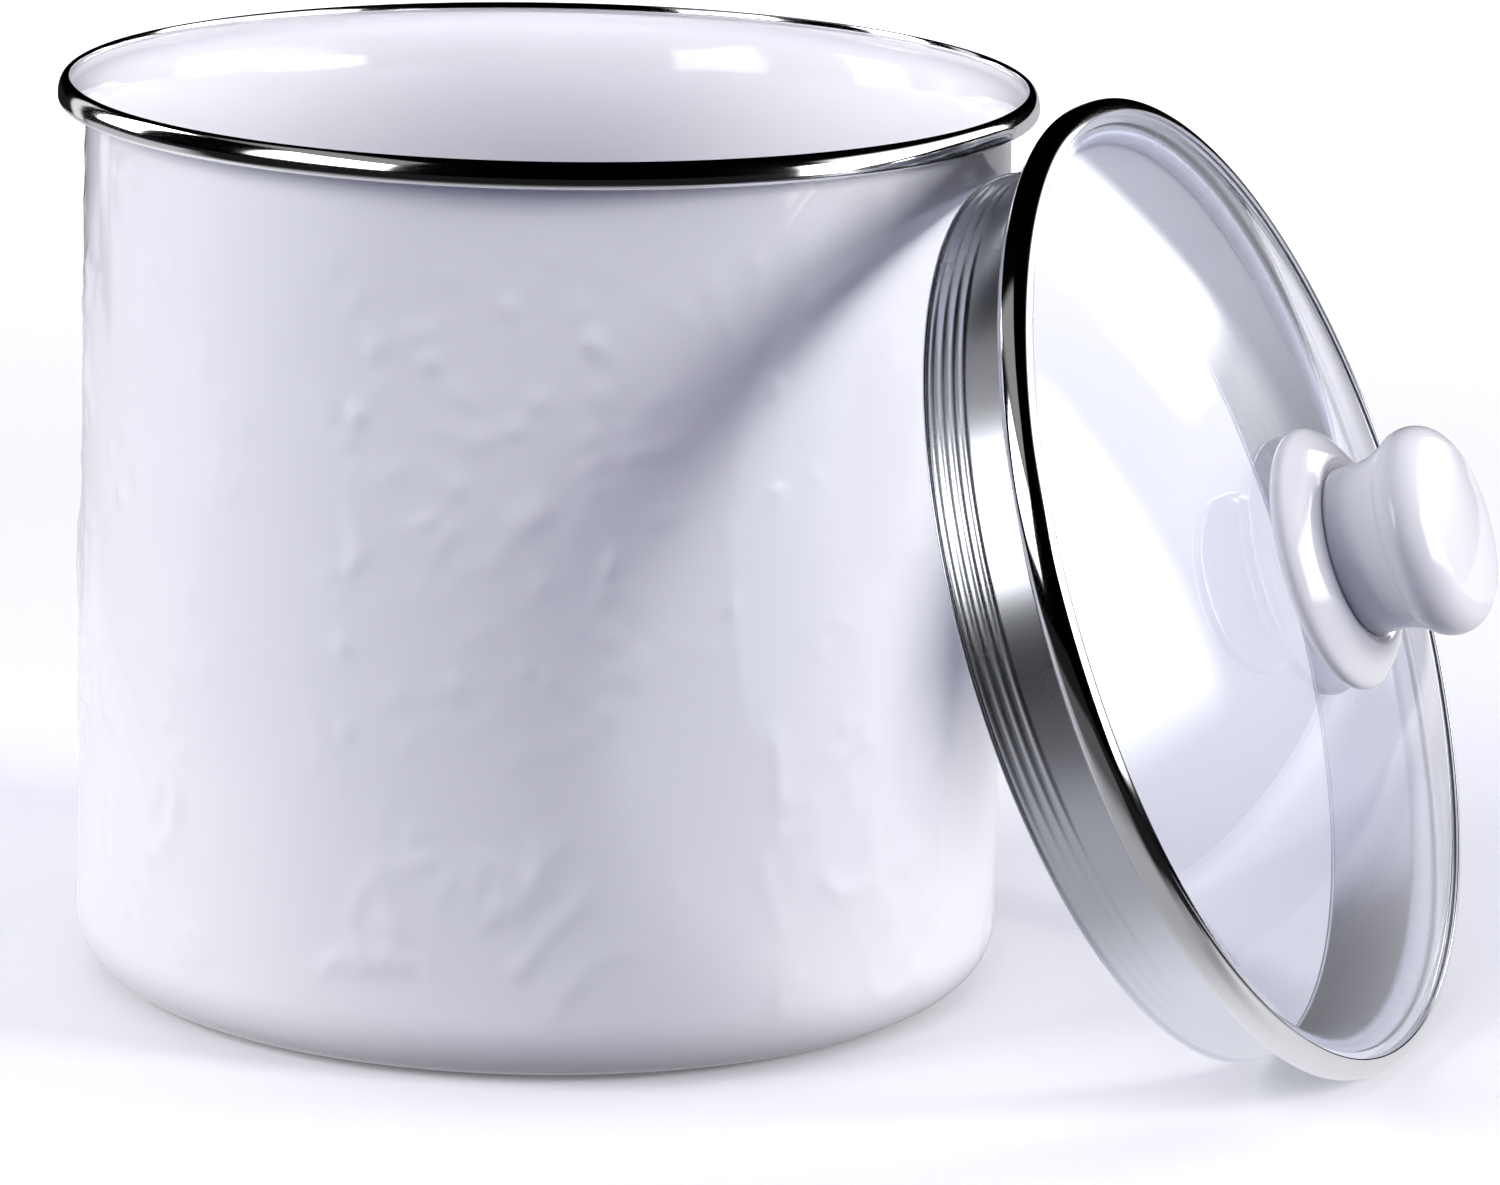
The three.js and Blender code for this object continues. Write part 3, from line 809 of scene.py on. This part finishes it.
def flatPiece(name, x, y, z, finish, *rays):
    corners = [(x[0], y[0], z), (x[1], y[0], z), (x[1], y[1], z), (x[0], y[1], z)]
    stagePiece(name, corners, [(0, 1, 2, 3)], finish, *rays)


def sidePanel(name, x, y, z, finish, *rays):
    corners = [(x, y[0], z[0]), (x, y[1], z[0]), (x, y[1], z[1]), (x, y[0], z[1])]
    stagePiece(name, corners, [(0, 1, 2, 3)], finish, *rays)


def glowFinish(name, colour, base, patches):
    # base, plus for each patch its glow times a smooth rise from 0 to 1 over the width soft at each of its
    # edges
    finish, nodes, links, shader, where = newFinish(name)
    shader.inputs["Base Color"].default_value = (0, 0, 0, 1)
    shader.inputs["Specular IOR Level"].default_value = 0.0
    shader.inputs["Emission Color"].default_value = (*colour, 1)
    parts = nodes.new("ShaderNodeSeparateXYZ")
    links.new(where, parts.inputs[0])

    def joined(operation, first, second):
        node = nodes.new("ShaderNodeMath")
        node.operation = operation
        node.inputs[0].default_value = base
        if first is not None:
            links.new(first, node.inputs[0])
        links.new(second, node.inputs[1])
        return node.outputs[0]

    total = None
    for patch in patches:
        share = None
        for axis, low, high in patch["edges"]:
            for edge, inner in ((low, low + patch["soft"]), (high, high - patch["soft"])):
                rise = nodes.new("ShaderNodeMapRange")
                rise.interpolation_type = "SMOOTHSTEP"
                rise.inputs["From Min"].default_value = edge * 1000
                rise.inputs["From Max"].default_value = inner * 1000
                rise.inputs["To Max"].default_value = 1.0 if share else patch["glow"]
                links.new(parts.outputs[axis], rise.inputs["Value"])
                result = rise.outputs["Result"]
                share = joined("MULTIPLY", share, result) if share else result
        total = joined("ADD", total, share)
    links.new(total, shader.inputs["Emission Strength"])
    return finish


def makeBackdrop(reach, height):
    # four plain walls and a ceiling that only the camera and the glass see: a box's corners and faces
    plan = ((-reach, -reach), (reach, -reach), (reach, reach), (-reach, reach))
    corners = [(x, y, z) for z in (0, height) for x, y in plan]
    faces = [(0, 1, 5, 4), (1, 2, 6, 5), (2, 3, 7, 6), (3, 0, 4, 7), (4, 5, 6, 7)]
    white = plainFinish("backdrop white", (0, 0, 0), 1.0)
    stagePiece("backdrop", corners, faces, white, "shadow", "diffuse", "glossy")


def areaLamp(name, place, wide, tall, watts):
    light = bpy.data.lights.new(name, "AREA")
    light.shape = "RECTANGLE"
    light.size, light.size_y = wide, tall
    light.energy = watts
    lamp = bpy.data.objects.new(name, light)
    lamp.matrix_world = place
    hidden(lamp, "camera", "transmission", "glossy")
    bpy.context.scene.collection.objects.link(lamp)


def makeStudio():
    scene = bpy.context.scene
    room = bpy.data.worlds.new("dim room")
    scene.world = room
    room.use_nodes = True
    back = room.node_tree.nodes["Background"]
    back.inputs["Color"].default_value = (*studio["roomColour"], 1)
    back.inputs["Strength"].default_value = studio["roomLight"]
    room.cycles_visibility.glossy = False

    # the table glows a little, more so far away where the lamps don't reach
    reach = (-studio["tableReach"], studio["tableReach"])
    far = [{"edges": (edge,), "soft": studio["farSoft"], "glow": studio["farGlow"]}
           for edge in studio["farEdges"]]
    white = glowFinish("table white", (1, 1, 1), studio["tableGlow"], far)
    surface = white.node_tree.nodes["Principled BSDF"].inputs
    surface["Base Color"].default_value = (*studio["tableColour"], 1)
    surface["Roughness"].default_value = 1.0
    # hidden from diffuse rays, so that only the grey card lights the shaded side of the wall from below
    flatPiece("table", reach, reach, studio["tableHeight"], white, "diffuse", "glossy", "shadow")
    flatPiece("bounce card", bounceCard["x"], bounceCard["y"], bounceCard["height"],
              plainFinish("card grey", bounceCard["shade"]), "camera", "transmission", "shadow", "glossy")
    makeBackdrop(studio["tableReach"], studio["tableReach"])
    look = paintedFloorReflection
    patches = []
    for patch in floorPatches:
        (left, right), (front, rear), soft = patch["x"], patch["y"], patch["soft"]
        edges = (("X", left - soft, right + soft), ("Y", front - soft, rear + soft))
        patches.append({"edges": edges, "soft": soft, "glow": patch["glow"]})
    reach = (-look["reach"], look["reach"])
    # painted floor reflection: this sheet glows and only reflections see it, so its patches paint the lit
    # and shaded table
    flatPiece("painted floor reflection", reach, reach, look["height"],
              glowFinish("reflection paint for the floor", look["colour"], look["base"], patches),
              "camera", "transmission", "shadow", "diffuse")

    distance = studio["boxDistance"]
    for box in softBoxes:
        wide, tall = (2 * distance * math.tan(math.radians(box[side] / 2)) for side in ("wide", "tall"))
        place = aimed(box["azimuth"], box["elevation"], distance)
        areaLamp(box["name"], place, wide, tall, box["watts"])
    for panel in sidePanels:
        spots = panel["patches"]
        patches = [{"edges": (("Y", *spot["y"]), ("Z", *spot["z"])), "soft": spot["soft"],
                    "glow": spot["glow"]} for spot in spots]
        y, z = ((min(spot[way][0] for spot in spots), max(spot[way][1] for spot in spots))
                for way in ("y", "z"))
        sidePanel(panel["name"], panel["x"], y, z, glowFinish(panel["name"], (1, 1, 1), 0.0, patches),
                  "camera", "transmission", "shadow", "diffuse")


makeStudio()
bpy.context.scene.view_settings.view_transform = "Standard"
print("studio ready")
